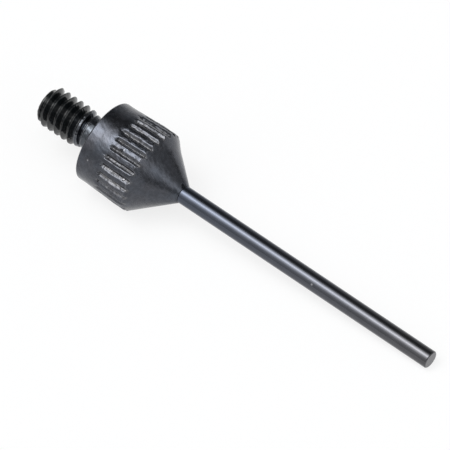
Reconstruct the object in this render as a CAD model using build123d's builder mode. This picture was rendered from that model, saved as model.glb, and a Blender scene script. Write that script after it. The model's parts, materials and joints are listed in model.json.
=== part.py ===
"""A depth probe for a dial indicator, in millimetres.

A turned steel body has a screw stem behind, a knurled collar, and a cone in front. A long thin pin
is pressed into the cone's nose. The probe is modelled as it comes to rest on a flat surface: on the
flat crest of one knurl tooth, where it meets the cone, and on the edge of the pin's tip. +Z is up, +X
runs from the stem to the tip, and the origin is on the surface, under the middle of the probe.
"""

import os
from math import atan2, cos, radians, sin, tan

from build123d import *

# Screw stem: the thread is drawn as a plain cylinder of its major diameter
THREAD_DIAMETER = 2.76
STEM_LENGTH = 4.6
STEM_CHAMFER = 0.38
RELIEF_LENGTH = 0.95
RELIEF_DEPTH = 0.25
RUN_OUT_LENGTH = 0.85
SEAT_CLEARANCE = 0.04

# Collar
LAND_DIAMETER = 5.65
LAND_LENGTH = 1.58
COLLAR_LENGTH = 3.76
RIM_BREAK = 0.08

# Straight knurl: raised flat teeth with a V groove between each two
TOOTH_COUNT = 26
CREST_RISE = 0.12
CREST_RUN_IN = 0.8
GROOVE_WIDTH = 0.29
GROOVE_FLOOR = 0.03
GROOVE_WALL_ANGLE = 45
GROOVE_START = 0.15

# Cone
CONE_ANGLE = 78.8
NOSE_WALL = 0.05

# Pin and the bore that holds it
PIN_DIAMETER = 1.22
PIN_REACH = 20.0
PIN_SEAT_DEPTH = 4.5
PIN_LEAD = 0.1
PIN_FIT = 0.0
TIP_BREAK = 0.06
DRILL_POINT_ANGLE = 118

# Radii
thread_radius = THREAD_DIAMETER / 2
neck_radius = thread_radius - RELIEF_DEPTH
neck_fillet = RELIEF_DEPTH + SEAT_CLEARANCE
land_radius = LAND_DIAMETER / 2
crest_radius = land_radius + CREST_RISE
pin_radius = PIN_DIAMETER / 2
bore_radius = pin_radius + PIN_FIT
nose_radius = bore_radius + NOSE_WALL

# Places along the probe's axis, counted from the collar's shoulder towards the tip
cone_slope = tan(radians(CONE_ANGLE / 2))
nose_at = COLLAR_LENGTH + (crest_radius - nose_radius) / cone_slope
seat_at = nose_at - PIN_SEAT_DEPTH
tip_at = nose_at + PIN_REACH
full_thread_at = -RELIEF_LENGTH - RUN_OUT_LENGTH

# How the probe leans: the lowest tooth and the tip's edge touch one level surface
lean = atan2(crest_radius - pin_radius, tip_at - TIP_BREAK - COLLAR_LENGTH)
behind = STEM_LENGTH * cos(lean) + (thread_radius - STEM_CHAMFER) * sin(lean)
ahead = tip_at * cos(lean) + (pin_radius - TIP_BREAK) * sin(lean)
height = COLLAR_LENGTH * sin(lean) + crest_radius * cos(lean)

# The shoulder's centre, the axis through it, a plane that holds the axis, and one square to it
shoulder = Vector((behind - ahead) / 2, 0, height)
along = Vector(cos(lean), 0, -sin(lean))
probe_axis = Axis(shoulder, along)
axis_plane = Plane(origin=shoulder, x_dir=along, z_dir=(0, -1, 0))
cross_plane = Plane(origin=shoulder, x_dir=(0, 1, 0), z_dir=along)


def turned_blank():
    """Half of the outline that is turned first: stem, relief, collar, and bar for the cone."""
    with BuildSketch(axis_plane) as outline:
        with BuildLine():
            Polyline(
                (-neck_fillet, neck_radius),
                (-RELIEF_LENGTH, neck_radius),
                (full_thread_at, thread_radius),
                (STEM_CHAMFER - STEM_LENGTH, thread_radius),
                (-STEM_LENGTH, thread_radius - STEM_CHAMFER),
                (-STEM_LENGTH, 0),
                (nose_at, 0),
                (nose_at, land_radius),
                (RIM_BREAK, land_radius),
                (0, land_radius - RIM_BREAK),
                (0, neck_radius + neck_fillet),
            )
            CenterArc(
                center=(-neck_fillet, neck_radius + neck_fillet),
                radius=neck_fillet,
                start_angle=-90,
                arc_size=90,
            )
        make_face()
    return outline.sketch


def ramp_waste():
    """Half of the ring of metal above the ramp that the teeth rise on from the land."""
    spare = 2 * CREST_RISE
    ramp_end = LAND_LENGTH + CREST_RUN_IN * (CREST_RISE + spare) / CREST_RISE
    with BuildSketch(axis_plane) as outline:
        with BuildLine():
            Polyline(
                (LAND_LENGTH, land_radius),
                (ramp_end, crest_radius + spare),
                (LAND_LENGTH, crest_radius + spare),
                close=True,
            )
        make_face()
    return outline.sketch


def cone_waste():
    """Half of the ring of metal outside the cone, tall enough to take in the knurl's crests."""
    spare = 2 * CREST_RISE
    with BuildSketch(axis_plane) as outline:
        with BuildLine():
            Polyline(
                (COLLAR_LENGTH - spare / cone_slope, crest_radius + spare),
                (nose_at, crest_radius + spare),
                (nose_at, nose_radius),
                close=True,
            )
        make_face()
    return outline.sketch


def drilled_bore():
    """Half of the blind bore, with the drill's point at its floor."""
    point_length = bore_radius / tan(radians(DRILL_POINT_ANGLE / 2))
    with BuildSketch(axis_plane) as outline:
        with BuildLine():
            Polyline(
                (seat_at - point_length, 0),
                (seat_at, bore_radius),
                (nose_at, bore_radius),
                (nose_at, 0),
                close=True,
            )
        make_face()
    return outline.sketch


def pin_outline():
    """Half of the pin, with a lead on the end that is pressed in and a broken edge on the tip."""
    with BuildSketch(axis_plane) as outline:
        with BuildLine():
            Polyline(
                (seat_at, 0),
                (seat_at, pin_radius - PIN_LEAD),
                (seat_at + PIN_LEAD, pin_radius),
                (tip_at - TIP_BREAK, pin_radius),
                (tip_at, pin_radius - TIP_BREAK),
                (tip_at, 0),
                close=True,
            )
        make_face()
    return outline.sketch


# The metal that one knurl groove takes away, lying along +Z at the side of the axis. It is drawn from
# clear of the crests and narrows inwards to the groove's floor, with a rounded end towards the land.
wall_slope = tan(radians(GROOVE_WALL_ANGLE))
groove_depth = (GROOVE_WIDTH - GROOVE_FLOOR) / 2 / wall_slope
groove_clear = 2 * CREST_RISE
mouth_half_width = GROOVE_WIDTH / 2 + groove_clear * wall_slope
groove_from = LAND_LENGTH + GROOVE_START
groove_mouth = Plane(origin=(crest_radius + groove_clear, 0, 0), x_dir=(0, 0, 1), z_dir=(-1, 0, 0))

with BuildPart() as knurl_groove:
    with BuildSketch(groove_mouth):
        with BuildLine():
            Polyline(
                (groove_from, mouth_half_width),
                (nose_at, mouth_half_width),
                (nose_at, -mouth_half_width),
                (groove_from, -mouth_half_width),
            )
            ThreePointArc(
                (groove_from, -mouth_half_width),
                (groove_from - mouth_half_width, 0),
                (groove_from, mouth_half_width),
            )
        make_face()
    extrude(amount=groove_clear + groove_depth, taper=GROOVE_WALL_ANGLE)

# The raised band that the teeth are cut from has a flat for each tooth, and one flat faces straight down
first_corner = -90 + 180 / TOOTH_COUNT

with BuildPart() as flatted_band:
    with BuildSketch(Plane.XY.offset(LAND_LENGTH)):
        RegularPolygon(crest_radius, TOOTH_COUNT, major_radius=False, rotation=first_corner)
    extrude(amount=nose_at - LAND_LENGTH)

# The body is turned, given its band, ramped and knurled, coned and drilled, in that order
with BuildPart(cross_plane) as knurled_body:
    revolve(turned_blank(), axis=probe_axis)
    add(flatted_band.part)
    revolve(ramp_waste(), axis=probe_axis, mode=Mode.SUBTRACT)
    with PolarLocations(0, TOOTH_COUNT, start_angle=first_corner):
        add(knurl_groove.part, mode=Mode.SUBTRACT)
    revolve(cone_waste(), axis=probe_axis, mode=Mode.SUBTRACT)
    revolve(drilled_bore(), axis=probe_axis, mode=Mode.SUBTRACT)

knurled_body.part.label = "knurled_body"

with BuildPart() as probe_pin:
    revolve(pin_outline(), axis=probe_axis)

probe_pin.part.label = "probe_pin"

os.makedirs("parts", exist_ok=True)
export_step(knurled_body.part, "parts/knurled_body.step")
export_step(probe_pin.part, "parts/probe_pin.step")
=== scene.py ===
"""The looks of a dial indicator depth probe: a black steel body with a thread and a knurl, and a long pin.

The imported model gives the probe's place, its lean and its main sizes. Each piece is turned here in the
lathe's own frame, where X runs along the probe's axis from the collar's shoulder to the tip, and is then
laid down where the model has it.
"""

import json
from math import atan2, ceil, cos, floor, hypot, pi, radians, sin, tan

import bmesh
import bpy
from bpy.props import FloatProperty, FloatVectorProperty, IntProperty, PointerProperty
from mathutils import Matrix, Vector
from numpy import interp


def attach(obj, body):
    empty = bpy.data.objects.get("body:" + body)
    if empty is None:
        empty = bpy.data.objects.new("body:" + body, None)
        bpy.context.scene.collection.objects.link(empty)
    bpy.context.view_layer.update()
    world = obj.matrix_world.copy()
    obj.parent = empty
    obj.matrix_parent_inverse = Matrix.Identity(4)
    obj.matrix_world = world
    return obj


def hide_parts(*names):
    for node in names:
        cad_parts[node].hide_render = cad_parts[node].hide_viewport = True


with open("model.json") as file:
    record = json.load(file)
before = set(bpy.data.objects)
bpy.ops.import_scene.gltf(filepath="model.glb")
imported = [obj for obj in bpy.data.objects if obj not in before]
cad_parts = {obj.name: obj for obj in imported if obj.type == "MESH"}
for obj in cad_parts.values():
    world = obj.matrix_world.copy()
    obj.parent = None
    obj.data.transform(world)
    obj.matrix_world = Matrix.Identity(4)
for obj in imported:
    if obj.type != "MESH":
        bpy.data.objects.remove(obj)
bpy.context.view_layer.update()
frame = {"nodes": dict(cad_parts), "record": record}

bl_info = {
    "name": "Depth Probe",
    "version": (1, 0, 0),
    "blender": (4, 5, 0),
    "location": "View3D > Sidebar > Depth Probe",
    "description": "Makes a dial indicator depth probe with its thread, knurl and black finish",
    "category": "Object",
}

MM = 0.001

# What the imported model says: the axis, the shoulder on it, and how far each node reaches
MOUNTS = {mount["name"]: mount for mount in frame["record"]["mounts"]}
ALONG = -Vector(MOUNTS["threaded_stem"]["axis"]).normalized()
STEM_MIDDLE = Vector(MOUNTS["threaded_stem"]["pos_m"])
SHOULDER = STEM_MIDDLE + ALONG * (Vector(MOUNTS["shoulder"]["pos_m"]) - STEM_MIDDLE).dot(ALONG)
LEAN = atan2(-ALONG.z, ALONG.x)
LAID_DOWN = Matrix.Translation(SHOULDER) @ Matrix.Rotation(LEAN, 4, "Y")


def reach(node):
    """How far a node reaches along the axis to its back and its front, straight below it, and all round."""
    points = [LAID_DOWN.inverted() @ vertex.co for vertex in frame["nodes"][node].data.vertices]
    places = [point.x for point in points]
    below = max(-point.z for point in points)
    around = max(hypot(point.y, point.z) for point in points)
    return min(places), max(places), below, around


# One tooth of the knurl has its flat crest straight down
STEM_END, NOSE, CREST_RADIUS, _ = reach("knurled_body")
PIN_SEAT, PIN_TIP, _, PIN_RADIUS = reach("probe_pin")
THREAD_RADIUS = MOUNTS["threaded_stem"]["dims"]["r_mm"] * MM
DRILL_POINT_ANGLE = radians(118)

# How finely the pieces are turned. The collar has three columns for each of the stem's.
THREAD_ROWS = 16
STEM_COLUMNS = 208
COLLAR_COLUMNS = 624
PIN_COLUMNS = 128

# Where the finish changes, in millimetres from the shoulder: on the way from the thread to the relief,
# and from the relief to the collar
THREAD_FADES = -1.75, -1.6
STEM_FADES = -0.35, -0.1

# Chips and dark spots: millimetres along from the shoulder, radians round, and the size in millimetres.
# Steel shows in the chips, which are marks of use. The spots are painted as black as the oiled thread: the
# one at the cone's nose is painted shade where the cone meets the pin, and the one on the knurl darkens a
# dent.
BODY_CHIPS = (3.55, 2.62, 0.12), (2.9, 3.06, 0.14), (0.75, 2.73, 0.08), (2.64, 2.05, 0.07)
BODY_SPOTS = (2.48, 2.09, 0.13), (6.45, 1.5, 0.2)
PIN_CHIP = 17.32, 2.5, 0.09


def length(name, description, default_mm):
    """A property for a size, with its default in millimetres."""
    settings = {"default": default_mm * MM, "precision": 6, "unit": "LENGTH"}
    return FloatProperty(name=name, description=description, **settings)


def angle(name, description, default_degrees):
    """A property for an angle, with its default in degrees."""
    settings = {"default": radians(default_degrees), "subtype": "ANGLE"}
    return FloatProperty(name=name, description=description, **settings)


def share(name, description, default):
    """A property for an amount from none to all."""
    settings = {"default": default, "min": 0, "max": 1, "subtype": "FACTOR"}
    return FloatProperty(name=name, description=description, **settings)


def colour(name, description, default):
    """A property for a colour."""
    settings = {"default": default, "size": 3, "min": 0, "max": 1, "subtype": "COLOR"}
    return FloatVectorProperty(name=name, description=description, **settings)


class StemSizes(bpy.types.PropertyGroup):
    """Sizes of the threaded stem."""

    pitch: length("Thread Pitch", "From one turn of the thread to the next", 0.529)
    start: angle("Thread Start", "Where round the axis the crests would meet the shoulder", 22.7)
    crest: length("Thread Crest", "Width of the thread's flat crest", 0.018)
    floor: length("Thread Floor", "Width of the floor of the thread's groove", 0.03)
    depth: length("Thread Depth", "Depth of the thread's groove", 0.375)
    softness: length("Thread Softness", "How much the thread's edges are rounded", 0.014)
    raggedness: length("Thread Raggedness", "How deep the nicks in the thread are", 0.022)
    chamfer: length("End Chamfer", "Chamfer on the stem's end", 0.38)
    run_out: length("Run Out", "Length over which the crests come down to the relief", 0.85)
    relief: length("Relief", "Length of the relief beside the shoulder", 0.95)
    relief_depth: length("Relief Depth", "Depth of the relief below the crests", 0.25)
    fillet: length("Relief Fillet", "Radius between the relief and the shoulder", 0.29)


class CollarSizes(bpy.types.PropertyGroup):
    """Sizes of the collar, its straight knurl and its cone."""

    land_radius: length("Land Radius", "Radius of the plain land", 2.825)
    rim: length("Rim Break", "Break on the shoulder's rim", 0.08)
    swell_start: length("Swell Start", "Where the collar starts to swell towards the knurl", 0.7)
    swell_end: length("Swell End", "Where the collar has swollen to the knurl's crests", 2.9)
    teeth: IntProperty(name="Teeth", description="Number of teeth round the knurl", default=26, min=3)
    crowding: angle("Tooth Crowding", "How far the teeth crowd together on one side of the knurl", 2.8)
    crowded_side: angle("Crowded Side", "Where round the knurl its teeth stand closest", 97.5)
    groove_start: length("Groove Start", "Where the knurl's grooves start", 1.9)
    groove_end: length("Groove End", "Where the knurl's grooves start to close at the cone", 4.0)
    groove_width: length("Groove Width", "Width of a groove between the crests", 0.46)
    groove_floor: length("Groove Floor", "Width of a groove's floor", 0.03)
    groove_depth: length("Groove Depth", "Depth of a groove below the crests", 0.14)
    run_in: length("Run In", "Length over which the crests turn rough before the grooves", 0.5)
    softness: length("Knurl Softness", "How much the teeth are rounded at the cone", 0.02)
    crown: length("Crest Crown", "How far each crest falls away beside the grooves", 0.02)
    tilt: share("Crest Tilt", "Steepest slope at which a crest leans to one side", 0.2)
    tilt_seed: IntProperty(name="Tilt Seed", description="Which crests lean to which side", default=215)
    waver: length("Groove Waver", "How far the grooves stray from their lines", 0.16)
    roughness: length("Crest Roughness", "Height of the rough texture on the crests", 0.022)
    burr: length("Burr", "How far the teeth are pushed over the cone's edge", 0.2)
    burr_side: angle("Burr Side", "Where round the knurl the burr is longest", 72)
    burr_end: length("Burr End", "Where the burr runs out on the cone", 4.7)
    seed: IntProperty(name="Seed", description="Which set of uneven teeth is rolled", default=4)
    cone_angle: angle("Cone Angle", "Angle between opposite sides of the cone", 78.8)
    nose_wall: length("Nose Wall", "Wall left round the pin at the cone's nose", 0.05)


class PinSizes(bpy.types.PropertyGroup):
    """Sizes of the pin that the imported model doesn't give."""

    tip_break: length("Tip Break", "Break on the edge of the tip", 0.06)
    lead: length("Lead", "Chamfer on the end that is pressed in", 0.1)


class Finishes(bpy.types.PropertyGroup):
    """Colours and wear of the black steel."""

    body: colour("Body Black", "Black finish of the collar and the cone", (0.073, 0.081, 0.097))
    warm: colour("Warm Black", "Black finish where it has a brown cast", (0.085, 0.081, 0.086))
    thread: colour("Thread Black", "Oiled black finish of the thread", (0.004, 0.005, 0.006))
    neck: colour("Neck Black", "Black finish of the relief beside the shoulder", (0.075, 0.082, 0.092))
    residue: colour("Residue", "Dust and old oil in the knurl's grooves", (0.2, 0.19, 0.18))
    pin: colour("Pin Black", "Blue-black finish of the pin", (0.078, 0.087, 0.110))
    pin_tip: colour("Tip Black", "Black finish of the pin towards its tip", (0.100, 0.099, 0.105))
    steel: colour("Bare Steel", "Steel that shows where the black is rubbed off", (0.35, 0.35, 0.37))
    wear: share("Edge Wear", "How much of the black is rubbed off along the edges", 0.4)
    dust: share("Groove Residue", "How much dust and oil the knurl's grooves hold", 0.5)


class StageSettings(bpy.types.PropertyGroup):
    """The floor and the camera."""

    floor: colour("Floor", "Colour of the floor", (0.97, 0.97, 0.97))
    floor_glow: share("Floor Glow", "How white the floor is to the camera, and in reflections", 0.8)
    floor_size: length("Floor Size", "Width of the floor", 4000)
    azimuth: angle("Azimuth", "Camera's place round the probe", 39.777)
    elevation: angle("Elevation", "How high the camera looks down from", 48.969)
    roll: angle("Roll", "How far the camera is turned clockwise about its line of sight", 1.786)
    lens: FloatProperty(name="Lens", description="Focal length in millimetres", default=1000)
    view_width: length("View Width", "How much of the probe's length the picture's width holds", 28.66)
    aim_right: length("Aim Right", "The picture's middle, to the right of the shoulder's", 7.771)
    aim_up: length("Aim Up", "The picture's middle, above the shoulder's", -5.373)


SETTINGS = {
    "probe_stem": StemSizes,
    "probe_collar": CollarSizes,
    "probe_pin": PinSizes,
    "probe_finishes": Finishes,
    "probe_stage": StageSettings,
}

NUMBER = "NodeSocketFloat"
VECTOR = "NodeSocketVector"
SOCKETS = {float: NUMBER, int: "NodeSocketInt", bpy.types.Material: "NodeSocketMaterial"}


class Nodes:
    """Adds nodes to a tree in the order in which a rule is worked out."""

    def __init__(self, tree):
        self.tree = tree

    def add(self, kind, inputs=None, output=0, **settings):
        """Adds a node and returns one or more of its outputs.

        An input is a value or another node's output.
        """
        node = self.tree.nodes.new(kind)
        for name, value in settings.items():
            setattr(node, name, value)
        for socket, value in (inputs or {}).items():
            if isinstance(value, bpy.types.NodeSocket):
                self.tree.links.new(value, node.inputs[socket])
            else:
                node.inputs[socket].default_value = value
        return node.outputs[output]

    def group(self, name, inputs=None, output=0):
        """One of the shader groups that the finishes share."""
        return self.add("ShaderNodeGroup", inputs, output, node_tree=bpy.data.node_groups[name])

    def math(self, operation, *values):
        """An operation on numbers."""
        return self.add("ShaderNodeMath", dict(enumerate(values)), operation=operation)

    def plus(self, first, second):
        """The sum of two numbers."""
        return self.math("ADD", first, second)

    def minus(self, first, second):
        """The first number less the second."""
        return self.math("SUBTRACT", first, second)

    def times(self, first, *others):
        """The product of two numbers or more."""
        for other in others:
            first = self.math("MULTIPLY", first, other)
        return first

    def over(self, first, second):
        """The first number divided by the second."""
        return self.math("DIVIDE", first, second)

    def larger(self, first, second):
        """The larger of two numbers."""
        return self.math("MAXIMUM", first, second)

    def ramp(self, value, low, high, at_low=0.0, at_high=1.0, shape="LINEAR"):
        """A number that goes from one value to another while its input goes from low to high."""
        limits = {0: value, 1: low, 2: high, 3: at_low, 4: at_high}
        return self.add("ShaderNodeMapRange", limits, interpolation_type=shape)

    def stops(self, value, stops):
        """A number that goes straight from stop to stop. Each stop is a place and the number there."""
        first, last = stops[0][0], stops[-1][0]
        node = self.tree.nodes.new("ShaderNodeValToRGB")
        self.tree.links.new(self.ramp(value, first, last), node.inputs["Fac"])
        elements = node.color_ramp.elements
        for place, _ in stops[1:-1]:
            elements.new((place - first) / (last - first))
        for element, (_, amount) in zip(elements, stops):
            element.color = (amount, amount, amount, 1)
        return node.outputs["Color"]

    def noise(self, vector, scale, detail=2.0, roughness=0.5, output=0):
        """Soft noise about a half."""
        inputs = {"Vector": vector, "Scale": scale, "Detail": detail, "Roughness": roughness}
        return self.add("ShaderNodeTexNoise", inputs, output)

    def vector(self, x, y, z):
        """A vector from three numbers."""
        return self.add("ShaderNodeCombineXYZ", {0: x, 1: y, 2: z})

    def numbers(self, vector):
        """A vector's three numbers."""
        return self.add("ShaderNodeSeparateXYZ", {0: vector}, output=slice(3))

    def length(self, vector):
        """How long a vector is."""
        return self.add("ShaderNodeVectorMath", {0: vector}, 1, operation="LENGTH")

    def scaled(self, vector, factor):
        """A vector or a colour times a number."""
        return self.add("ShaderNodeVectorMath", {0: vector, "Scale": factor}, operation="SCALE")

    def blend(self, factor, first, second):
        """A blend of two colours, of which the second is a plain one."""
        inputs = {0: factor, 6: first, 7: (*second, 1)}
        return self.add("ShaderNodeMix", inputs, output=2, data_type="RGBA")

    def store(self, geometry, name, value):
        """Keeps a number for each point, under a name that a material can read."""
        inputs = {0: geometry, "Name": name, "Value": value}
        return self.add("GeometryNodeStoreNamedAttribute", inputs)


def lay_out(tree):
    """Puts a tree's nodes in columns, each to the right of the nodes that it reads."""
    spacing = 200
    columns = {}
    rows = {}
    for node in tree.nodes:
        feeds = [columns.get(link.from_node, 0) for socket in node.inputs for link in socket.links]
        columns[node] = 1 + max(feeds, default=0)
        rows[columns[node]] = rows.get(columns[node], 0) + 1
        node.location = (columns[node] * spacing, -rows[columns[node]] * spacing)


def outline(corners):
    """Points along the edge of a half section that is to be turned.

    Each corner is its place along the axis, its radius, how far from it its rounding starts, and the
    widest gap between the points from there to the next corner. The margin is for a point on each side
    of a rounding, which keeps the straight stretches straight.
    """
    arc_steps = 4
    margin = 1.5
    spots = [Vector(corner[:2]) for corner in corners]
    points = []
    for index, (spot, (_, _, rounding, _)) in enumerate(zip(spots, corners)):
        arc = [spot]
        if rounding:
            back = (spots[index - 1] - spot).normalized()
            ahead = (spots[index + 1] - spot).normalized()
            weight = cos(back.angle(-ahead) / 2)
            arc = [spot + back * rounding * margin]
            for step in range(arc_steps + 1):
                t = step / arc_steps
                shares = (1 - t) ** 2, 2 * weight * t * (1 - t), t**2
                pull = back * shares[0] + ahead * shares[2]
                arc.append(spot + pull * rounding / sum(shares))
            arc.append(spot + ahead * rounding * margin)
        if points:
            gap = arc[0] - points[-1]
            count = ceil(gap.length / corners[index - 1][3])
            points += [points[-1] + gap * step / count for step in range(1, count)]
        points += arc
    return points


def spin(along, radius, turn):
    """A point of a turned piece."""
    return along, radius * cos(turn), radius * sin(turn)


def add_ring(mesh, point, columns):
    """A ring of vertices round the axis, or one vertex on it."""
    along, radius = point
    count = columns if radius > 0 else 1
    return [mesh.verts.new(spin(along, radius, 2 * pi * column / count)) for column in range(count)]


def bridge(mesh, first, second):
    """Faces between two rings, one of which may have several times as many vertices as the other."""
    few, many = sorted((first, second), key=len)
    times = len(many) // len(few)

    def nearest(column):
        return few[(column + times // 2) // times % len(few)]

    for column in range(len(many)):
        corners = many[column - 1], many[column], nearest(column), nearest(column - 1)
        mesh.faces.new(list(dict.fromkeys(corners)))


def turn_plain(mesh, points, columns, ring=None):
    """Turns an outline into rings, on from the last ring of what is already turned."""
    for point in points:
        last, ring = ring, add_ring(mesh, point, columns)
        if last:
            bridge(mesh, last, ring)
    return ring


def turn_helical(mesh, points, sizes, ring):
    """Turns an outline into rows that climb as the thread does, so that its crests run along them."""
    columns = len(ring)
    last_ring = add_ring(mesh, points[-1], columns)
    places, radii = zip(*points)
    step = sizes.pitch / THREAD_ROWS
    crest_at_start = -sizes.pitch * sizes.start / (2 * pi)
    lowest_row = floor((places[0] - crest_at_start) / step) - THREAD_ROWS
    made = {}

    def vertex(row, column):
        turns, column = divmod(column, columns)
        row += turns * THREAD_ROWS
        along = crest_at_start + (lowest_row + row + THREAD_ROWS * column / columns) * step
        if along < places[0] + step / 2:
            return ring[column]
        if along > places[-1] - step / 2:
            return last_ring[column]
        if (row, column) not in made:
            radius = interp(along, places, radii)
            made[row, column] = mesh.verts.new(spin(along, radius, 2 * pi * column / columns))
        return made[row, column]

    for row in range(ceil((places[-1] - places[0]) / step) + THREAD_ROWS + 1):
        for column in range(columns):
            spots = (row, column), (row, column + 1), (row + 1, column + 1), (row + 1, column)
            corners = list(dict.fromkeys(vertex(*spot) for spot in spots))
            if len(corners) > 2:
                mesh.faces.new(corners)
    return last_ring


def new_object(name, data):
    """An object in the scene."""
    thing = bpy.data.objects.new(name, data)
    bpy.context.scene.collection.objects.link(thing)
    return thing


def turned_object(name, mesh):
    """An object in the lathe's frame, from a turned mesh."""
    bmesh.ops.recalc_face_normals(mesh, faces=mesh.faces)
    data = bpy.data.meshes.new(name)
    mesh.to_mesh(data)
    mesh.free()
    return new_object(name, data)


def surface_tree(name, values, steps):
    """A Geometry Nodes tree that works a turned blank in steps, and gives it its material.

    Its inputs are those of the values, by name, that the steps read. Each step is a function that adds
    its own nodes.
    """
    tree = bpy.data.node_groups.new(name, "GeometryNodeTree")
    tree.interface.new_socket(name="Geometry", in_out="INPUT", socket_type="NodeSocketGeometry")
    tree.interface.new_socket(name="Geometry", in_out="OUTPUT", socket_type="NodeSocketGeometry")
    for label, value in values.items():
        tree.interface.new_socket(name=label, in_out="INPUT", socket_type=SOCKETS[type(value)])
    nodes = Nodes(tree)
    given = tree.nodes.new("NodeGroupInput").outputs
    geometry = given["Geometry"]
    for step in steps:
        geometry = step(nodes, given, geometry)
    smooth = nodes.add("GeometryNodeSetShadeSmooth", {0: geometry})
    real = nodes.add("GeometryNodeRealizeInstances", {0: smooth})
    painted = nodes.add("GeometryNodeSetMaterial", {0: real, "Material": given["Material"]})
    tree.links.new(painted, tree.nodes.new("NodeGroupOutput").inputs[0])
    for item in list(tree.interface.items_tree):
        if item.in_out == "INPUT" and not given[item.name].is_linked:
            tree.interface.remove(item)
    lay_out(tree)
    return tree


def work_surface(piece, tree, values):
    """Runs a tree on a blank, keeps the result as a plain mesh, and lays the piece down."""
    modifier = piece.modifiers.new(tree.name, "NODES")
    modifier.node_group = tree
    for item in tree.interface.items_tree:
        if item.name in values:
            modifier[item.identifier] = values[item.name]
    bpy.context.view_layer.update()
    worked = piece.evaluated_get(bpy.context.evaluated_depsgraph_get())
    mesh = bpy.data.meshes.new_from_object(worked)
    piece.modifiers.remove(modifier)
    piece.data = mesh
    mesh.name = piece.name
    mesh.transform(LAID_DOWN)


def named_values(settings):
    """The sizes of a group of properties, by the names that they are shown with."""
    labels = {name: settings.bl_rna.properties[name].name for name in type(settings).__annotations__}
    return {label: getattr(settings, name) for name, label in labels.items()}


def polar(nodes):
    """A point's place along the axis, the angle round it, and the distance from it."""
    along, across, up = nodes.numbers(nodes.add("GeometryNodeInputPosition"))
    return along, nodes.math("ARCTAN2", up, across), nodes.length(nodes.vector(0, across, up))


def set_radius(nodes, geometry, radius, new_radius, selection):
    """Moves the selected points straight in or out, to a new distance from the axis."""
    along, across, up = nodes.numbers(nodes.add("GeometryNodeInputPosition"))
    grown = nodes.over(new_radius, radius)
    place = nodes.vector(along, nodes.times(across, grown), nodes.times(up, grown))
    return nodes.add("GeometryNodeSetPosition", {0: geometry, "Selection": selection, "Position": place})


def cut_thread(nodes, given, geometry):
    """Cuts the groove of a screw thread round the stem, with slightly ragged crests between its turns."""
    along, turn, radius = polar(nodes)
    pitch = given["Thread Pitch"]
    depth = given["Thread Depth"]
    turns = nodes.over(nodes.minus(turn, given["Thread Start"]), 2 * pi)
    place = nodes.minus(nodes.over(along, pitch), turns)
    from_crest = nodes.times(nodes.math("PINGPONG", place, 0.5), pitch)
    crest_edge = nodes.over(given["Thread Crest"], 2)
    floor_edge = nodes.over(nodes.minus(pitch, given["Thread Floor"]), 2)
    floor_radius = nodes.minus(given["Thread Radius"], depth)
    flank = nodes.ramp(from_crest, crest_edge, floor_edge, given["Thread Radius"], floor_radius)

    # The groove closes in the relief, which is also smoother
    relief_start = nodes.times(given["Relief"], -1)
    groove_end = nodes.times(given["Relief"], -0.75)
    groove = nodes.plus(flank, nodes.ramp(along, relief_start, groove_end, 0, depth))
    cut = nodes.math("SMOOTH_MIN", radius, groove, given["Thread Softness"])
    nicks = nodes.noise(nodes.add("GeometryNodeInputPosition"), 4.5 / MM)
    ragged = nodes.ramp(nicks, 0.4, 0.7, 0, given["Thread Raggedness"])
    ragged = nodes.times(ragged, nodes.ramp(along, relief_start, groove_end, 1, 0.25))
    on_stem = nodes.math("LESS_THAN", along, groove_end)
    return set_radius(nodes, geometry, radius, nodes.minus(cut, ragged), on_stem)


def tooth_place(nodes, given, turn):
    """A point's place among the teeth, where each groove is at a whole number, and the teeth's pitch."""
    from_side = nodes.minus(turn, given["Crowded Side"])
    crowded = nodes.times(nodes.math("SINE", from_side), given["Tooth Crowding"])
    tooth_turn = nodes.over(2 * pi, given["Teeth"])
    turns = nodes.over(nodes.plus(nodes.plus(turn, crowded), pi / 2), tooth_turn)
    return nodes.plus(turns, 0.5), nodes.times(tooth_turn, given["Crest Radius"])


def groove_at(nodes, given, along, place, pitch):
    """How deep the knurl's grooves are. Each has its own depth, and wanders about its line."""
    nearest = nodes.math("ROUND", place)
    number = nodes.math("FLOORED_MODULO", nearest, given["Teeth"])

    # Each groove has a line of its own through the noise, far from the others
    changes_per_mm = 1.3
    far_apart = 7.3
    stretched = nodes.times(along, changes_per_mm / MM)
    spot = nodes.vector(stretched, nodes.times(number, far_apart), given["Seed"])
    chances = nodes.numbers(nodes.noise(spot, 1, 3, 0.6, "Color"))
    wander = nodes.times(nodes.minus(chances[0], 0.5), given["Groove Waver"])
    deepest = nodes.times(given["Groove Depth"], nodes.ramp(chances[1], 0.3, 0.7, 0.55, 1.25))

    aside = nodes.plus(nodes.times(nodes.minus(place, nearest), pitch), wander)
    half_floor = nodes.over(given["Groove Floor"], 2)
    half_width = nodes.over(nodes.minus(given["Groove Width"], given["Groove Floor"]), 2)
    off_floor = nodes.larger(nodes.minus(nodes.math("ABSOLUTE", aside), half_floor), 0)
    before = nodes.minus(given["Groove Start"], along)
    after = nodes.minus(along, given["Groove End"])
    past_end = nodes.larger(nodes.larger(before, after), 0)
    from_floor = nodes.length(nodes.vector(off_floor, past_end, 0))
    return nodes.ramp(from_floor, 0, half_width, deepest, 0, "SMOOTHSTEP")


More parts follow.
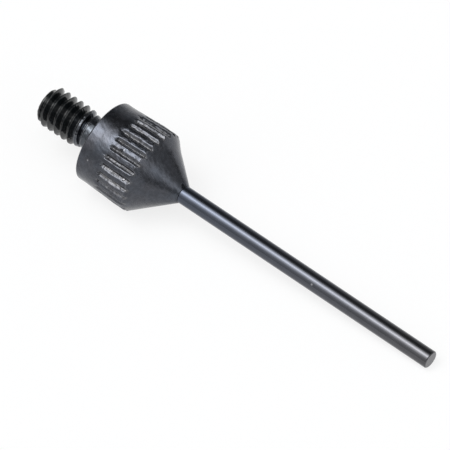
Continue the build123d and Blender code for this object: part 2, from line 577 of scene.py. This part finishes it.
def crest_drop(nodes, given, along, place, pitch):
    """How far the crests drop. Each leans to one side, falls away beside its grooves, and is rough."""
    tooth = nodes.math("FLOORED_MODULO", nodes.math("FLOOR", place), given["Teeth"])
    spot = nodes.vector(tooth, given["Tilt Seed"], 0)
    lean = nodes.ramp(nodes.add("ShaderNodeTexWhiteNoise", {"Vector": spot}), 0, 1, -1, 1)
    slope = nodes.times(lean, given["Crest Tilt"])
    from_middle = nodes.minus(nodes.math("FRACT", place), 0.5)

    # On its high side, a leaning crest is level from a fifth of the pitch outwards
    leant = nodes.times(from_middle, pitch, slope)
    highest = nodes.times(nodes.math("ABSOLUTE", slope), pitch, 0.2)
    drop = nodes.larger(nodes.minus(highest, leant), 0)

    # Four times the square of the way from the middle is 1 beside the grooves
    drop = nodes.plus(drop, nodes.times(from_middle, from_middle, 4, given["Crest Crown"]))
    rough = nodes.noise(nodes.add("GeometryNodeInputPosition"), 4 / MM, 3, 0.65)
    drop = nodes.plus(drop, nodes.times(nodes.ramp(rough, 0.35, 0.65), given["Crest Roughness"]))
    start = given["Groove Start"]
    run_in = nodes.ramp(along, nodes.minus(start, given["Run In"]), start, 0, 1, "SMOOTHSTEP")
    return nodes.times(drop, run_in)


def burred_cone(nodes, given, along, turn):
    """The cone's radius, with the teeth pushed over its edge, least near where the probe rests."""
    share_round = nodes.math("COSINE", nodes.minus(turn, given["Burr Side"]))
    longest = nodes.times(nodes.ramp(share_round, -1, 1), given["Burr"])
    fading = nodes.ramp(along, given["Cone Start"], given["Burr End"], 1, 0, "SMOOTHSTEP")
    past_start = nodes.minus(along, given["Cone Start"])
    past_edge = nodes.larger(nodes.minus(past_start, nodes.times(longest, fading)), 0)
    return nodes.minus(given["Crest Radius"], nodes.times(past_edge, given["Cone Slope"]))


def roll_knurl(nodes, given, geometry):
    """Swells the collar, presses the knurl's grooves into it, and pushes the teeth over the cone."""
    along, turn, radius = polar(nodes)
    place, pitch = tooth_place(nodes, given, turn)
    groove = groove_at(nodes, given, along, place, pitch)
    drop = crest_drop(nodes, given, along, place, pitch)
    geometry = nodes.store(geometry, "hollow", nodes.over(groove, given["Groove Depth"]))

    start = given["Swell Start"]
    crests = given["Crest Radius"]
    swollen = nodes.ramp(along, start, given["Swell End"], given["Land Radius"], crests)
    rolled = nodes.minus(nodes.minus(swollen, drop), groove)
    cone = burred_cone(nodes, given, along, turn)
    left = nodes.math("SMOOTH_MIN", cone, rolled, nodes.over(given["Knurl Softness"], 2))

    # The bore runs inside the knurl, and stays as it is
    skin = 1 * MM
    outside = nodes.math("GREATER_THAN", radius, nodes.minus(crests, skin))
    after_start = nodes.math("GREATER_THAN", along, start)
    before_end = nodes.math("LESS_THAN", along, given["Burr End"])
    return set_radius(nodes, geometry, radius, left, nodes.times(after_start, before_end, outside))


def mark_edges(nodes, given, geometry):
    """Notes how far each point stands out from what is round it, for the wear along the edges."""
    sharp_edge = 0.02 * MM
    position = nodes.add("GeometryNodeInputPosition")
    blur = {"Value": position, "Iterations": 5}
    around = nodes.add("GeometryNodeBlurAttribute", blur, data_type="FLOAT_VECTOR")
    proud = nodes.add("ShaderNodeVectorMath", {0: position, 1: around}, operation="SUBTRACT")
    normal = nodes.add("GeometryNodeInputNormal")
    height = nodes.add("ShaderNodeVectorMath", {0: proud, 1: normal}, 1, operation="DOT_PRODUCT")
    return nodes.store(geometry, "edge", nodes.ramp(height, 0, sharp_edge))


def shader_group(name, inputs, outputs):
    """A shader group with named inputs and outputs: its nodes, what it is given, and where results go."""
    tree = bpy.data.node_groups.new(name, "ShaderNodeTree")
    for label, default in inputs.items():
        tree.interface.new_socket(name=label, in_out="INPUT", socket_type=NUMBER).default_value = default
    for label, kind in outputs.items():
        tree.interface.new_socket(name=label, in_out="OUTPUT", socket_type=kind)
    given = tree.nodes.new("NodeGroupInput").outputs
    results = tree.nodes.new("NodeGroupOutput").inputs
    return Nodes(tree), given, results


def send(nodes, results, **values):
    """Joins values to a group's named outputs."""
    for label, value in values.items():
        nodes.tree.links.new(value, results[label])
    lay_out(nodes.tree)


def turned_coordinates():
    """Where a point of the laid-down probe is in the lathe's frame, in millimetres."""
    outputs = {"Place": VECTOR, "Along": NUMBER, "Radius": NUMBER}
    nodes, _, results = shader_group("Turned Coordinates", {}, outputs)
    laid_down = {"Location": SHOULDER, "Rotation": (0, LEAN, 0), "Scale": (MM, MM, MM)}
    point = nodes.add("ShaderNodeTexCoord", output="Object")
    place = nodes.add("ShaderNodeMapping", {"Vector": point, **laid_down}, vector_type="TEXTURE")
    along, across, up = nodes.numbers(place)
    send(nodes, results, Place=place, Along=along, Radius=nodes.length(nodes.vector(0, across, up)))


def turning_marks():
    """Fine rings that the lathe left, which run round the axis on every face and fade in and out."""
    inputs = {"Rings per mm": 12.0, "Change Round": 0.4}
    nodes, given, results = shader_group("Turning Marks", inputs, {"Marks": NUMBER})
    place, along, radius = nodes.group("Turned Coordinates", output=slice(3))
    path = nodes.minus(along, nodes.times(radius, 0.7))
    _, across, up = nodes.numbers(place)
    rings = nodes.vector(
        nodes.times(path, given["Rings per mm"]),
        nodes.times(across, given["Change Round"]),
        nodes.times(up, given["Change Round"]),
    )
    send(nodes, results, Marks=nodes.noise(rings, 1, 3, 0.65))


def mottle():
    """Clouds of lighter and darker finish, with soft or hard edges."""
    inputs = {"Scale": 1.5, "Hardness": 0.5, "Shift": 0.0}
    nodes, given, results = shader_group("Mottle", inputs, {"Clouds": NUMBER})
    place = nodes.group("Turned Coordinates")
    moved = nodes.add("ShaderNodeVectorMath", {0: place, 1: given["Shift"]}, operation="ADD")
    cloud = nodes.noise(moved, given["Scale"], 2.5, 0.55)
    softness = nodes.times(nodes.minus(1, given["Hardness"]), 0.3)
    clouds = nodes.ramp(cloud, nodes.minus(0.5, softness), nodes.plus(0.5, softness))
    send(nodes, results, Clouds=clouds)


def specks():
    """Small round pits or specks scattered on the surface."""
    inputs = {"Specks per mm": 5.0, "Size": 0.25, "Share": 0.3}
    nodes, given, results = shader_group("Specks", inputs, {"Specks": NUMBER})
    cells = {"Vector": nodes.group("Turned Coordinates"), "Scale": given["Specks per mm"]}
    distance, tint = nodes.add("ShaderNodeTexVoronoi", cells, output=slice(2))
    chances = nodes.numbers(tint)
    size = nodes.times(given["Size"], chances[1])
    spot = nodes.ramp(distance, nodes.times(size, 0.4), size, 1, 0, "SMOOTHSTEP")
    chosen = nodes.math("LESS_THAN", chances[0], given["Share"])
    send(nodes, results, Specks=nodes.times(spot, chosen))


def streaks():
    """Uneven streaks that run slantwise round the probe, as handling and oil leave them."""
    inputs = {"Streaks per mm": 2.5, "Slant": 0.6, "Length": 0.25}
    nodes, given, results = shader_group("Streaks", inputs, {"Streaks": NUMBER})
    place, along = nodes.group("Turned Coordinates", output=slice(2))
    _, across, up = nodes.numbers(place)
    around = nodes.plus(nodes.times(across, -0.85), nodes.times(up, -0.53))
    slanted = nodes.plus(nodes.times(along, given["Slant"]), around)
    stretched = nodes.times(along, given["Length"])
    spot = nodes.vector(slanted, stretched, nodes.times(around, given["Length"]))
    send(nodes, results, Streaks=nodes.noise(spot, given["Streaks per mm"], 1.5, 0.5))


def chip():
    """One small round chip or spot, at a place along the probe and an angle round it."""
    inputs = {"Along": 0.0, "Turn": 0.0, "Size": 0.1}
    nodes, given, results = shader_group("Chip", inputs, {"Chip": NUMBER})
    place, _, radius = nodes.group("Turned Coordinates", output=slice(3))
    across = nodes.times(radius, nodes.math("COSINE", given["Turn"]))
    up = nodes.times(radius, nodes.math("SINE", given["Turn"]))
    ends = {0: place, 1: nodes.vector(given["Along"], across, up)}
    distance = nodes.add("ShaderNodeVectorMath", ends, 1, operation="DISTANCE")
    half = nodes.times(given["Size"], 0.5)
    send(nodes, results, Chip=nodes.ramp(distance, half, given["Size"], 1, 0, "SMOOTHSTEP"))


def edge_wear():
    """Where rubbing has worn the finish along edges that stand out, in broken patches."""
    inputs = {"Amount": 0.5, "Patches per mm": 4.0}
    nodes, given, results = shader_group("Edge Wear", inputs, {"Wear": NUMBER})
    place = nodes.group("Turned Coordinates")
    edge = nodes.add("ShaderNodeAttribute", output="Fac", attribute_name="edge")
    patches = nodes.ramp(nodes.noise(place, given["Patches per mm"], 4, 0.6), 0.3, 0.7)
    send(nodes, results, Wear=nodes.times(nodes.ramp(edge, 0.15, 0.8), patches, given["Amount"]))


def residue():
    """Where dust and old oil have stayed in grooves, in broken patches."""
    inputs = {"Amount": 0.5, "Patches per mm": 3.0}
    nodes, given, results = shader_group("Residue", inputs, {"Residue": NUMBER})
    place = nodes.group("Turned Coordinates")
    hollow = nodes.add("ShaderNodeAttribute", output="Fac", attribute_name="hollow")
    patches = nodes.ramp(nodes.noise(place, given["Patches per mm"], 3, 0.6), 0.3, 0.7, 0.3, 1)
    send(nodes, results, Residue=nodes.times(hollow, patches, given["Amount"]))


def make_effects():
    """Makes the shader groups that both black finishes use, once."""
    if "Turned Coordinates" not in bpy.data.node_groups:
        turned_coordinates()
        for effect in turning_marks, mottle, specks, streaks, chip, edge_wear, residue:
            effect()


def mark_at(nodes, mark):
    """The mask of one chip or spot."""
    along, turn, size = mark
    return nodes.group("Chip", {"Along": along, "Turn": turn, "Size": size})


def new_steel(name):
    """A material for blackened steel: its nodes and its shader."""
    make_effects()
    material = bpy.data.materials.new(name)
    material.use_nodes = True
    shader = material.node_tree.nodes["Principled BSDF"]
    shader.inputs["Metallic"].default_value = 1
    return material, Nodes(material.node_tree), shader


def join(nodes, shader, base, roughness, height, depth):
    """Joins a finish to its shader. A height of 1 in the relief stands for the given depth."""
    links = nodes.tree.links
    links.new(base, shader.inputs["Base Color"])
    links.new(roughness, shader.inputs["Roughness"])
    relief = nodes.add("ShaderNodeBump", {"Height": height, "Distance": depth})
    links.new(relief, shader.inputs["Normal"])
    lay_out(nodes.tree)


def black_body(finish):
    """Black oxide on the turned body: mottled and pitted on the collar, oiled and glossy on the stem."""
    material, nodes, shader = new_steel("black_oxide_body")
    _, along = nodes.group("Turned Coordinates", output=slice(2))
    on_stem = nodes.ramp(along, *STEM_FADES, 1, 0)
    on_thread = nodes.ramp(along, *THREAD_FADES, 1, 0)

    casts = nodes.group("Mottle", {"Scale": 0.8, "Hardness": 0.2})
    clouds = nodes.group("Mottle", {"Scale": 4.5, "Hardness": 0.5, "Shift": 20})
    marks = nodes.group("Turning Marks", {"Rings per mm": 14})
    pits = nodes.group("Specks", {"Specks per mm": 6, "Size": 0.3, "Share": 0.35})
    smears = nodes.group("Streaks", {"Streaks per mm": 3})
    dents = nodes.group("Streaks", {"Streaks per mm": 2.6, "Slant": -0.8, "Length": 0.6})
    rubbed = nodes.group("Edge Wear", {"Amount": finish.wear})
    wear = nodes.times(rubbed, nodes.minus(1, on_thread))
    dusty = nodes.group("Residue", {"Amount": finish.dust})

    black = nodes.blend(nodes.times(casts, 0.6), (*finish.body, 1), finish.warm)
    black = nodes.blend(on_stem, black, finish.neck)
    black = nodes.blend(on_thread, black, finish.thread)
    shade = nodes.ramp(nodes.plus(clouds, smears), 0.3, 1.7, 0.8, 1.2)
    shade = nodes.minus(shade, nodes.times(pits, 0.25))
    base = nodes.blend(wear, nodes.scaled(black, shade), finish.steel)

    # Dents and chips are much deeper than the grain. The dark spots are painted as black as the oiled
    # thread, and the one at the cone's nose is painted shade where the cone meets the pin.
    relief = nodes.times(dents, 6)
    shown = [(mark, finish.steel) for mark in BODY_CHIPS]
    shown += [(mark, finish.thread) for mark in BODY_SPOTS]
    for mark, inside in shown:
        spot_mask = mark_at(nodes, mark)
        base = nodes.blend(nodes.times(spot_mask, 0.7), base, inside)
        relief = nodes.minus(relief, nodes.times(spot_mask, 8))
    base = nodes.blend(dusty, base, finish.residue)

    # Oil on the thread and dust in the grooves hide the metal
    metal = nodes.minus(nodes.minus(1, on_thread), dusty)
    nodes.tree.links.new(metal, shader.inputs["Metallic"])
    shader.inputs["IOR"].default_value = 1.55
    matt = nodes.ramp(clouds, 0, 1, 0.23, 0.29)
    glossy = nodes.ramp(clouds, 0, 1, 0.06, 0.11)
    roughness = nodes.add("ShaderNodeMix", {0: on_stem, 2: matt, 3: glossy})
    grain = nodes.times(nodes.plus(clouds, marks), 0.35)
    height = nodes.plus(nodes.minus(grain, nodes.times(pits, 0.3)), relief)
    join(nodes, shader, base, roughness, height, 0.004 * MM)
    return material


def black_pin(finish):
    """Blue-black oxide on the ground pin, with grinding marks round it, a plainer cast at the tip, and a
    painted sheen on the tip's face.
    """
    material, nodes, shader = new_steel("black_oxide_pin")
    _, along = nodes.group("Turned Coordinates", output=slice(2))
    near_tip = nodes.ramp(along, NOSE / MM, PIN_TIP / MM)

    clouds = nodes.group("Mottle", {"Scale": 1.6, "Hardness": 0.2, "Shift": 40})
    marks = nodes.group("Turning Marks", {"Rings per mm": 30, "Change Round": 0.8})
    nicks = nodes.group("Specks", {"Specks per mm": 2, "Size": 0.12, "Share": 0.12})
    wear = nodes.group("Edge Wear", {"Amount": finish.wear})
    spot_mask = mark_at(nodes, PIN_CHIP)

    # The tip's face is painted half as light again as the sides: a painted sheen that stands in for the
    # light the face catches.
    face = PIN_TIP / MM
    painted_face_sheen = nodes.ramp(along, face - 0.04, face - 0.01, 1, 1.5)
    black = nodes.blend(near_tip, (*finish.pin, 1), finish.pin_tip)
    shade = nodes.times(nodes.ramp(nodes.plus(clouds, marks), 0, 2, 0.85, 1.15), painted_face_sheen)
    base = nodes.blend(wear, nodes.scaled(black, shade), finish.steel)
    base = nodes.blend(spot_mask, base, finish.steel)
    roughness = nodes.ramp(clouds, 0, 1, 0.18, 0.22)
    nicks = nodes.plus(nicks, nodes.times(spot_mask, 6))
    height = nodes.minus(nodes.times(marks, 0.5), nodes.times(nicks, 0.5))
    join(nodes, shader, base, roughness, height, 0.002 * MM)
    return material


class MakeBody(bpy.types.Operator):
    """Turn the body, cut its thread, roll its knurl and black it"""

    bl_idname = "depth_probe.knurled_body"
    bl_label = "Knurled Body"

    def execute(self, context):
        stem = context.scene.probe_stem
        collar = context.scene.probe_collar
        neck = THREAD_RADIUS - stem.relief_depth
        slope = tan(collar.cone_angle / 2)
        nose_radius = PIN_RADIUS + collar.nose_wall
        cone_start = NOSE - (CREST_RADIUS - nose_radius) / slope
        cone_at_burr_end = CREST_RADIUS - (collar.burr_end - cone_start) * slope
        drill_point = PIN_RADIUS / tan(DRILL_POINT_ANGLE / 2)

        # Widest gaps between the rings: on the knurl, elsewhere, on the cone, on flat faces, in the bore
        fine = 0.055 * MM
        plain = 0.15 * MM
        coarse = 0.3 * MM
        flat = 0.4 * MM
        hidden = 0.5 * MM

        # How far from a corner its rounding starts
        chamfer_edge = 0.04 * MM
        rim_edge = 0.03 * MM
        nose_edge = 0.015 * MM

        end_face = outline([
            (STEM_END, 0, 0, flat),
            (STEM_END, THREAD_RADIUS - stem.chamfer, chamfer_edge, plain),
            (STEM_END + stem.chamfer, THREAD_RADIUS, 0, plain),
        ])[:-2]
        threaded = [
            end_face[-1],
            Vector((STEM_END + stem.chamfer, THREAD_RADIUS)),
            Vector((-stem.relief - stem.run_out, THREAD_RADIUS)),
            Vector((-stem.relief, neck)),
            Vector((-1.5 * stem.fillet, neck)),
        ]
        shoulder = outline([
            (-1.5 * stem.fillet, neck, 0, plain),
            (0, neck, stem.fillet, plain),
            (0, neck + 2 * stem.fillet, 0, plain),
        ])[1:]
        outside = outline([
            (0, neck + 2.4 * stem.fillet, 0, flat),
            (0, collar.land_radius - collar.rim, rim_edge, plain),
            (collar.rim, collar.land_radius, rim_edge, plain),
            (collar.swell_start, collar.land_radius, 0, plain),
            (collar.groove_start - collar.run_in, collar.land_radius, 0, fine),
            (cone_start, CREST_RADIUS, 0, fine),
            (collar.burr_end, cone_at_burr_end, 0, coarse),
            (NOSE, nose_radius, nose_edge, fine),
            (NOSE, PIN_RADIUS + nose_edge, 0, fine),
        ])
        bore = outline([
            (NOSE, PIN_RADIUS, 0, hidden),
            (PIN_SEAT, PIN_RADIUS, 0, hidden),
            (PIN_SEAT - drill_point, 0, 0, plain),
        ])

        mesh = bmesh.new()
        ring = turn_plain(mesh, end_face, STEM_COLUMNS)
        ring = turn_helical(mesh, threaded, stem, ring)
        ring = turn_plain(mesh, shoulder, STEM_COLUMNS, ring)
        ring = turn_plain(mesh, outside, COLLAR_COLUMNS, ring)
        turn_plain(mesh, bore, STEM_COLUMNS, ring)
        body = turned_object("turned_body", mesh)

        values = {
            **named_values(stem),
            **named_values(collar),
            "Thread Radius": THREAD_RADIUS,
            "Crest Radius": CREST_RADIUS,
            "Cone Start": cone_start,
            "Cone Slope": slope,
            "Material": black_body(context.scene.probe_finishes),
        }
        tree = surface_tree("Work Body", values, [cut_thread, roll_knurl, mark_edges])
        work_surface(body, tree, values)
        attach(body, "root")
        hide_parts("knurled_body")
        return {"FINISHED"}


class MakePin(bpy.types.Operator):
    """Turn the pin and black it"""

    bl_idname = "depth_probe.probe_pin"
    bl_label = "Probe Pin"

    def execute(self, context):
        sizes = context.scene.probe_pin
        edge = 0.02 * MM
        plain = 0.4 * MM
        seat_face = 0.2 * MM
        tip_face = 0.15 * MM
        section = outline([
            (PIN_SEAT, 0, 0, seat_face),
            (PIN_SEAT, PIN_RADIUS - sizes.lead, edge, plain),
            (PIN_SEAT + sizes.lead, PIN_RADIUS, edge, plain),
            (PIN_TIP - sizes.tip_break, PIN_RADIUS, edge, plain),
            (PIN_TIP, PIN_RADIUS - sizes.tip_break, edge, tip_face),
            (PIN_TIP, 0, 0, plain),
        ])
        mesh = bmesh.new()
        turn_plain(mesh, section, PIN_COLUMNS)
        pin = turned_object("ground_pin", mesh)
        values = {"Material": black_pin(context.scene.probe_finishes)}
        tree = surface_tree("Work Pin", values, [mark_edges])
        work_surface(pin, tree, values)
        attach(pin, "root")
        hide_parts("probe_pin")
        return {"FINISHED"}


def light_room():
    """A grey room with a long soft window over the stem's side of the probe, and a low one at the tip's.

    The brightness of the walls and the windows is given round the probe's axis, from the horizon behind
    it, at 0, over the top to the horizon in front, at 180 degrees. How open the windows are, and how much
    light the end walls leave, is given by how far a direction points along the axis, from -1 straight back
    past the stem's end to 1 straight out past the tip.
    """
    stem_walls = (
        (0, 0.52), (20, 0.45), (40, 0.13), (60, 0.12), (75, 0.28), (105, 1.2), (145, 1), (180, 0.6),
    )
    tip_walls = (
        (0, 0.27), (25, 0.51), (50, 0.42), (75, 0.73), (100, 0.92), (125, 0.72), (150, 0.39), (180, 0.2),
    )
    stem_window = (75, 0), (90, 1.9), (100, 4.2), (110, 7.2), (120, 2.9), (130, 1.4), (145, 0)
    tip_window = (76, 0), (92, 0.5), (104, 1.33), (116, 0.5), (132, 0)
    side_pane = (0.06, 0), (0.12, 1.3), (0.22, 1.3), (0.28, 0)
    end_walls = (-1, 0.2), (-0.8, 0.4), (-0.6, 1), (0.02, 1), (0.14, 0.35), (0.45, 0.35), (0.56, 1)
    window_middle = -0.34
    tint = 0.98, 0.99, 1, 1

    world = bpy.data.worlds.new("plain_room")
    bpy.context.scene.world = world
    world.use_nodes = True
    nodes = Nodes(world.node_tree)
    look = nodes.add("ShaderNodeTexCoord", output="Generated")
    axes = {"Vector": look, "Rotation": (0, LEAN, 0)}
    along, across, up = nodes.numbers(nodes.add("ShaderNodeMapping", axes, vector_type="TEXTURE"))
    turn = nodes.times(nodes.math("ABSOLUTE", nodes.math("ARCTAN2", up, across)), 180 / pi)
    tip_side = nodes.ramp(along, -0.05, 0.25, 0, 1, "SMOOTHSTEP")
    sides = {0: tip_side, 2: nodes.stops(turn, stem_walls), 3: nodes.stops(turn, tip_walls)}
    walls = nodes.times(nodes.add("ShaderNodeMix", sides), nodes.stops(along, end_walls))
    from_middle = nodes.math("ABSOLUTE", nodes.minus(along, window_middle))
    stem_open = nodes.ramp(from_middle, 0.08, 0.28, 1, 0, "SMOOTHSTEP")
    stem_open = nodes.plus(stem_open, nodes.stops(along, side_pane))
    tip_open = nodes.ramp(along, 0.55, 0.8, 0, 1, "SMOOTHSTEP")
    brightness = nodes.plus(walls, nodes.times(nodes.stops(turn, stem_window), stem_open))
    brightness = nodes.plus(brightness, nodes.times(nodes.stops(turn, tip_window), tip_open))
    background = world.node_tree.nodes["Background"]
    background.inputs["Color"].default_value = tint
    world.node_tree.links.new(brightness, background.inputs["Strength"])
    lay_out(world.node_tree)


def white_floor(stage):
    """A floor that the camera and reflections see nearly white, with a faint shadow on it."""
    material = bpy.data.materials.new("white_floor")
    material.use_nodes = True
    nodes = Nodes(material.node_tree)
    shader = material.node_tree.nodes["Principled BSDF"]
    shader.inputs["Base Color"].default_value = (*stage.floor, 1)
    shader.inputs["Roughness"].default_value = 0.9
    shader.inputs["Specular IOR Level"].default_value = 0
    seen = 0
    for ray in "Is Camera Ray", "Is Glossy Ray", "Is Transmission Ray":
        seen = nodes.larger(seen, nodes.add("ShaderNodeLightPath", output=ray))
    white = nodes.add("ShaderNodeEmission", {"Color": (1, 1, 1, 1), "Strength": 1})
    shaders = {0: nodes.times(seen, stage.floor_glow), 1: shader.outputs[0], 2: white}
    mixed = nodes.add("ShaderNodeMixShader", shaders)
    nodes.tree.links.new(mixed, nodes.tree.nodes["Material Output"].inputs["Surface"])
    lay_out(nodes.tree)
    return material


def add_floor(stage):
    """A plain floor under the probe."""
    half = stage.floor_size / 2
    mesh = bpy.data.meshes.new("floor")
    corners = [(-half, -half, 0), (half, -half, 0), (half, half, 0), (-half, half, 0)]
    mesh.from_pydata(corners, [], [(0, 1, 2, 3)])
    mesh.materials.append(white_floor(stage))
    plane = new_object("floor", mesh)


def add_camera(stage):
    """A camera at the photograph's viewing angle, with a long lens."""
    camera = bpy.data.cameras.new("camera")
    camera.sensor_width = 36
    camera.lens = stage.lens
    camera.clip_start = 0.01
    camera.clip_end = 10
    right = Vector((cos(stage.azimuth), sin(stage.azimuth), 0))
    back = Vector((0, -cos(stage.elevation), sin(stage.elevation)))
    back = Matrix.Rotation(stage.azimuth, 3, "Z") @ back
    right = Matrix.Rotation(-stage.roll, 3, back) @ right
    up = back.cross(right)
    aim = SHOULDER + right * stage.aim_right + up * stage.aim_up
    distance = stage.view_width * stage.lens / camera.sensor_width
    turned = Matrix((right, up, back)).transposed().to_4x4()
    viewer = new_object("camera", camera)
    viewer.matrix_world = Matrix.Translation(aim + back * distance) @ turned
    bpy.context.scene.camera = viewer


class SetStage(bpy.types.Operator):
    """Set up the floor, the light and the camera"""

    bl_idname = "depth_probe.stage"
    bl_label = "Stage"

    def execute(self, context):
        stage = context.scene.probe_stage
        add_floor(stage)
        light_room()
        add_camera(stage)
        context.scene.view_settings.view_transform = "Standard"
        return {"FINISHED"}


class ProbePanel(bpy.types.Panel):
    """Lists the probe's pieces and stage, with their sizes and colours"""

    bl_idname = "VIEW3D_PT_depth_probe"
    bl_label = "Depth Probe"
    bl_space_type = "VIEW_3D"
    bl_region_type = "UI"
    bl_category = "Depth Probe"

    def draw(self, context):
        for step in STEPS:
            self.layout.operator(step.bl_idname)
        for name, group in SETTINGS.items():
            box = self.layout.box()
            for size in group.__annotations__:
                box.prop(getattr(context.scene, name), size)


STEPS = MakeBody, MakePin, SetStage
CLASSES = (*SETTINGS.values(), *STEPS, ProbePanel)


def register():
    for kind in CLASSES:
        bpy.utils.register_class(kind)
    for name, group in SETTINGS.items():
        setattr(bpy.types.Scene, name, PointerProperty(type=group))


def unregister():
    for name in SETTINGS:
        delattr(bpy.types.Scene, name)
    for kind in reversed(CLASSES):
        bpy.utils.unregister_class(kind)


def main():
    register()
    bpy.ops.depth_probe.knurled_body()
    bpy.ops.depth_probe.probe_pin()
    bpy.ops.depth_probe.stage()


if __name__ == "__main__":
    main()
